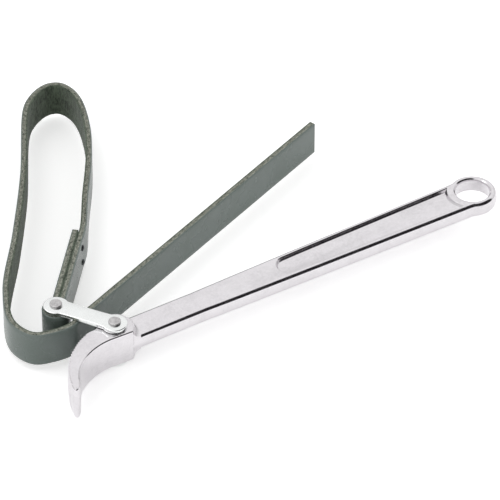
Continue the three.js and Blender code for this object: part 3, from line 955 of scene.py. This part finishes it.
        length, half = self.doubled_length, self.spacing / 2
        points = [self.on_outer_run(length - 12 - (length - 12 - bend_along) * i / 8) for i in range(8)]
        points += sweep(flat(bend_along, bend_out), self.bend_radius, 1.5 * math.pi, math.pi + leave, 10)
        points += sweep(flat(0, 0), self.eye_radius, leave, 2 * math.pi - leave, 44)[1:]
        points += sweep(flat(bend_along, -bend_out), self.bend_radius, math.pi - leave, math.pi / 2, 10)[1:]
        back = length - bend_along
        return points + [self.from_eye(bend_along + back * i / 12, -half) for i in range(1, 13)]

    def side_vectors(self) -> Outline:
        """Return the unit vector to the outer face at each point of the line."""
        result = []
        for i in range(len(self.line)):
            along = self.line[min(i + 1, len(self.line) - 1)] - self.line[max(i - 1, 0)]
            result.append(flat(-along.y, along.x).normalized())
        return result

    def profile(self, layer: Layer) -> Pairs:
        """Return a layer's section as offset and height, with its outer edges rounded."""
        half, edge = self.width / 2, layer.edge
        rows = [half - edge] + [half * k / 4 for k in (3, 2, 1, 0, -1, -2, -3)] + [edge - half]
        if layer.name == "grip_face":
            free, bound = layer.inner, layer.outer
        else:
            free, bound = layer.outer, layer.inner
        sign = 1 if free > bound else -1
        face = [(free, z) for z in rows]
        soft = free - sign * edge * 0.3
        top = [(bound, half), ((bound + free) / 2, half)]
        bottom = [((bound + free) / 2, -half), (bound, -half)]
        if edge:
            top += [(free - sign * edge, half), (soft, half - edge * 0.3)]
            bottom = [(soft, edge * 0.3 - half), (free - sign * edge, -half)] + bottom
        return top + face + bottom + [(bound, z) for z in reversed(rows[1:-1])]

    def strip(self, name: str, layer: Layer, first: int, last: int) -> bpy.types.Object:
        """Make one layer of one stretch of the strap.

        Args:
            name: The piece's name.
            layer: The layer.
            first: Index of the stretch's first point.
            last: Index of its last point.

        Returns:
            The piece, with the strap's length and width as its UV map.
        """
        bm = bmesh.new()
        uv = bm.loops.layers.uv.new("UVMap")
        profile = self.profile(layer)
        rings = []
        for i in range(first, last + 1):
            ring = []
            for offset, z in profile:
                fray = self.fray_depth * noise.noise(Vector((self.reach[i] * 0.9, offset * 2, z)))
                lift = fray if abs(z) > self.width / 2 - 0.01 else 0.0
                place = self.line[i] + self.sides[i] * offset
                ring.append(bm.verts.new((place.x, place.y, self.middle + z + math.copysign(lift, z))))
            rings.append(ring)
        count = len(profile)
        for k, (here, ahead) in enumerate(zip(rings, rings[1:])):
            for i in range(count):
                j = (i + 1) % count
                face = bm.faces.new((here[i], here[j], ahead[j], ahead[i]))
                near, far = self.reach[first + k], self.reach[first + k + 1]
                lengths = (near, near, far, far)
                for loop, n, length in zip(face.loops, (i, j, j, i), lengths):
                    loop[uv].uv = (length * MM, (profile[n][0] + profile[n][1]) * MM)
        for ring in (rings[0][::-1], rings[-1]):
            face = bm.faces.new(ring)
            for loop in face.loops:
                loop[uv].uv = (loop.vert.co.z * MM, (loop.vert.co.x + loop.vert.co.y) * MM)
        return object_from(name, bm)

    def edge_ribbons(self, name: str, first: int, last: int) -> bpy.types.Object:
        """Make the two narrow ribbons along the cut edges that the fibres grow from."""
        bm = bmesh.new()
        for side in (-1, 1):
            z = self.middle + side * self.width / 2
            previous = None
            for i in range(first, last + 1):
                inner = self.line[i] + self.sides[i] * (self.layers[0].inner + 0.2)
                outer = self.line[i] + self.sides[i] * (self.layers[1].outer + 0.1)
                pair = (bm.verts.new((inner.x, inner.y, z)), bm.verts.new((outer.x, outer.y, z)))
                if previous:
                    corners = (previous[0], pair[0], pair[1], previous[1])
                    bm.faces.new(corners if side > 0 else corners[::-1])
                previous = pair
        return object_from(name, bm, closed=False)

    def stretches(self) -> list[tuple[str, int, int]]:
        """Return the name, first and last point of each stretch of the strap."""
        return [
            ("tail", 0, self.tail_end),
            ("near_loop", self.tail_end, self.fold_start),
            ("far_loop", self.fold_start, self.fold_end),
            ("eye", self.fold_end, len(self.line) - 1),
        ]

    def settle(self, piece: bpy.types.Object, stretch: str) -> None:
        """Tie a piece to the strap body, or bake a tail piece's place into its mesh; a far-loop piece gets
        its own mesh.
        """
        if stretch == "tail":
            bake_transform(piece)
            return
        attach(piece, "strap")
        if stretch == "far_loop":
            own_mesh(piece)

    def rivet(self) -> bpy.types.Object:
        """Make the two small tubular rivets that close the eye."""
        reach = self.thickness + self.run_gap / 2
        radius, rise, bore = self.rivet_head_radius, self.rivet_head_height, self.rivet_bore
        dome = [(radius * math.cos(a), reach + rise * math.sin(a)) for a in (0.0, 0.4, 0.8, 1.15)]
        rim = [(bore + 0.12, reach + rise - 0.03), (bore, reach + rise - 0.2)]
        half = [(self.rivet_radius, 0.0), (self.rivet_radius, reach), *dome, *rim, (bore, 0.0)]
        profile = [(r, -z) for r, z in reversed(half[1:-1])] + half[:-1]
        made = turned("strap_rivets", profile, 40)
        lie = Matrix.Rotation(math.radians(90), 4, "X")
        turn = Matrix.Rotation(self.doubled_angle, 4, "Z")
        middle = self.from_eye(self.rivet_from_eye, 0.0) * MM
        low = (self.middle - self.rivet_spacing / 2) * MM
        made.data.transform(Matrix.Translation((middle.x, middle.y, low)) @ turn @ lie)
        spacing = (0.0, 0.0, self.rivet_spacing * MM)
        # Dark grey rivets: painted shade for their hollow bores.
        black = PAINTED_SHADE_RIVETS.build()
        grown(made, bpy.data.node_groups["row"], {"Count": 2, "Spacing": spacing, "Finish": black})
        smooth(made, 40)
        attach(made, "strap")
        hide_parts("strap_rivet_lower", "strap_rivet_upper")
        return made

    def build(self) -> list[bpy.types.Object]:
        """Build and dress every layer and fringe of the strap."""
        finishes = {
            "strap_grip": GRIP_SUEDE.build(),
            "strap_core": STRAP_CORE.build(),
            "strap_cover": STRAP_COVER.build(),
        }
        tree = fibre_tree()
        made = []
        for stretch, first, last in self.stretches():
            for layer in self.layers:
                piece = self.strip(f"strap_{stretch}_{layer.name}", layer, first, last)
                dress(piece, finishes[layer.slot])
                smooth(piece, 50)
                node = f"strap_tail_{layer.name}" if stretch == "tail" else f"strap_{layer.name}"
                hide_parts(node)
                self.settle(piece, stretch)
                made.append(piece)
            fringe = self.edge_ribbons(f"strap_{stretch}_fibres", first, last)
            short = stretch in self.between_plates
            length = self.short_fibre_length if short else self.fibre_length
            values = {
                "Density": self.fibre_density,
                "Length": length * MM,
                "Radius": self.fibre_radius * MM,
                "Lean": self.fibre_lean,
                "Seed": self.fibre_seed,
                "Finish": finishes["strap_core"],
            }
            grown(fringe, tree, values)
            self.settle(fringe, stretch)
            made.append(fringe)
            log.info("strap %s: points %d to %d", stretch, first, last)
        made.append(self.rivet())
        return made


# ---------------------------------------------------------------- studio


@dataclass
class Studio:
    """Floor, world, soft lamps, a dark card that only reflections see, and the camera."""

    elevation: float = math.radians(40)
    heading: float = math.radians(31.95)
    distance: float = 2000.0
    frame_width: float = 500 / 2.2
    sensor: float = 36.0
    aim: tuple[float, float] = (-135.4, -70.4)
    floor_glow: float = 0.42
    mirrored_glow: float = 0.62
    sky_strength: float = 0.86

    def directions(self) -> tuple[Vector, Vector, Vector]:
        """Return the camera's right, up and forward directions."""
        h, e = self.heading, self.elevation
        right = Vector((math.cos(h), -math.sin(h), 0))
        forward = Vector((math.sin(h) * math.cos(e), math.cos(h) * math.cos(e), -math.sin(e)))
        return right, right.cross(forward), forward

    def camera(self) -> None:
        """Place the camera so that the pivot rivet's head stands at its place in the frame."""
        right, up, forward = self.directions()
        scale = self.frame_width / 500
        pivot_top = Vector((0, 0, node_box("pivot_rivet")[1].z))
        aside = right * (self.aim[0] * scale) + up * (self.aim[1] * scale)
        place = pivot_top - aside - forward * self.distance
        data = bpy.data.cameras.new("camera")
        data.sensor_width = self.sensor
        data.lens = self.sensor * self.distance / self.frame_width
        data.clip_end = 20
        made = bpy.data.objects.new("camera", data)
        basis = Matrix((right, up, -forward)).transposed().to_4x4()
        made.matrix_world = Matrix.Translation(place * MM) @ basis
        bpy.context.scene.collection.objects.link(made)
        bpy.context.scene.camera = made

    def card(self, name: str, direction: Vector, away: float, size: float, colour: str) -> None:
        """Stage a card that only mirror-like surfaces see."""
        mesh = bpy.data.meshes.new(name)
        half = size / 2
        corners = [(-half, -half, 0), (half, -half, 0), (half, half, 0), (-half, half, 0)]
        mesh.from_pydata(corners, [], [(0, 1, 2, 3)])
        made = new_object(name, mesh)
        turn = direction.to_track_quat("Z", "Y").to_matrix().to_4x4()
        made.matrix_world = Matrix.Translation(direction.normalized() * away) @ turn
        material = bpy.data.materials.new(name)
        material.use_nodes = True
        material.node_tree.nodes.clear()
        tree = material.node_tree
        glow = add_node(tree, "ShaderNodeEmission", {"Color": linear(colour), "Strength": 1.0})
        add_node(tree, "ShaderNodeOutputMaterial", {"Surface": glow.outputs[0]})
        dress(made, material)
        made.visible_camera = False
        made.visible_diffuse = False
        made.visible_transmission = False
        made.visible_shadow = False

    def floor(self) -> None:
        """Stage the pale floor."""
        mesh = bpy.data.meshes.new("floor")
        mesh.from_pydata([(-4, -4, 0), (4, -4, 0), (4, 4, 0), (-4, 4, 0)], [], [(0, 1, 2, 3)])
        made = new_object("floor", mesh)
        material = bpy.data.materials.new("floor")
        material.use_nodes = True
        tree = material.node_tree
        tree.nodes.clear()
        path = add_node(tree, "ShaderNodeLightPath")
        mirrored = add_node(
            tree,
            "ShaderNodeMath",
            {0: path.outputs["Is Glossy Ray"], 1: self.mirrored_glow},
            operation="MULTIPLY",
        )
        seen = add_node(
            tree,
            "ShaderNodeMath",
            {0: path.outputs["Is Camera Ray"], 1: mirrored.outputs[0]},
            operation="MAXIMUM",
        )
        pale = add_node(tree, "ShaderNodeBsdfDiffuse", {"Color": linear("F4F4F4")})
        glow = add_node(tree, "ShaderNodeEmission", {"Color": linear("FFFFFF"), "Strength": self.floor_glow})
        both = add_node(tree, "ShaderNodeAddShader", {0: pale.outputs[0], 1: glow.outputs[0]})
        chosen = add_node(
            tree,
            "ShaderNodeMixShader",
            {0: seen.outputs[0], 1: pale.outputs[0], 2: both.outputs[0]},
        )
        add_node(tree, "ShaderNodeOutputMaterial", {"Surface": chosen.outputs[0]})
        dress(made, material)

    def world(self) -> None:
        """Light the scene with a plain white sky that mirrors show a little darker low down."""
        world = bpy.data.worlds.new("studio")
        bpy.context.scene.world = world
        world.use_nodes = True
        tree = world.node_tree
        tree.nodes.clear()
        path = add_node(tree, "ShaderNodeLightPath")
        place = add_node(tree, "ShaderNodeTexCoord")
        axes = add_node(tree, "ShaderNodeSeparateXYZ", {0: place.outputs["Generated"]})
        span = {0: axes.outputs["Z"], 1: -0.1, 2: 0.6, 3: 0.62, 4: 1.0}
        height = add_node(tree, "ShaderNodeMapRange", span)
        white = linear("FFFFFF")
        mirrored = add_node(tree, "ShaderNodeBackground", {"Color": white, "Strength": height.outputs[0]})
        sky = add_node(tree, "ShaderNodeBackground", {"Color": white, "Strength": self.sky_strength})
        chosen = add_node(
            tree,
            "ShaderNodeMixShader",
            {0: path.outputs["Is Glossy Ray"], 1: sky.outputs[0], 2: mirrored.outputs[0]},
        )
        add_node(tree, "ShaderNodeOutputWorld", {"Surface": chosen.outputs[0]})

    def lamp(self, name: str, place: tuple[float, float, float], size: float, power: float) -> None:
        """Add a soft square lamp that looks at the wrench's middle."""
        data = bpy.data.lights.new(name, "AREA")
        data.size = size
        data.energy = power
        made = bpy.data.objects.new(name, data)
        target = Vector((0.06, 0.05, 0.0))
        turn = (Vector(place) - target).to_track_quat("Z", "Y").to_matrix().to_4x4()
        made.matrix_world = Matrix.Translation(place) @ turn
        bpy.context.scene.collection.objects.link(made)

    def build(self) -> None:
        """Set up everything round the object."""
        self.floor()
        self.world()
        self.card("front_card", Vector((0.405, -0.85, 0.56)), 1.6, 2.9, "161217")
        self.lamp("key", (-0.5, 0.5, 1.2), 0.9, 3.0)
        view = bpy.context.scene.view_settings
        view.view_transform = "Standard"


def main() -> None:
    """Build the camera, the studio and the wrench, and report each piece."""
    studio = Studio()
    studio.camera()
    studio.build()
    Handle().build()
    Link().build()
    for piece in Strap().build():
        log.info("%s: %d faces", piece.name, len(piece.data.polygons))


if __name__ == "__main__":
    main()
